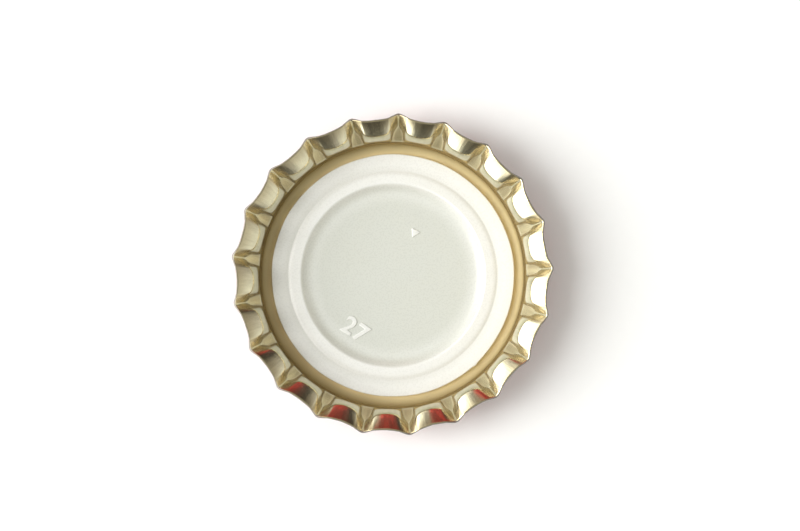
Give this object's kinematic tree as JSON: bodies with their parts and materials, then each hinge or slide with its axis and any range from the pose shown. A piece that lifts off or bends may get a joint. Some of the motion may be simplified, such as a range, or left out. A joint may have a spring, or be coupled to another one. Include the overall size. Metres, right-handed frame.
{
  "type": "crown bottle cap",
  "caption": "Round pressed-metal crown cap with a fluted, toothed skirt and a moulded sealing liner, lying mouth up.",
  "frame": {"origin": "centre of the top panel's outer face, on which the cap lies", "axes": "+Z along the cap's axis, from the top panel towards the open mouth; +X through one tooth"},
  "size_m": [0.0319, 0.032, 0.006],
  "materials": {
    "lacquered_tinplate": "thin tinplate, glossy gold lacquer inside with a faint drawn grain, glossy red enamel outside, bare cut edge",
    "white_liner": "soft white moulded liner, satin, slightly see-through where it is thin"
  },
  "bodies": {
    "root": {"crown_shell": "lacquered_tinplate", "sealing_liner": "white_liner"}
  },
  "joints": []
}
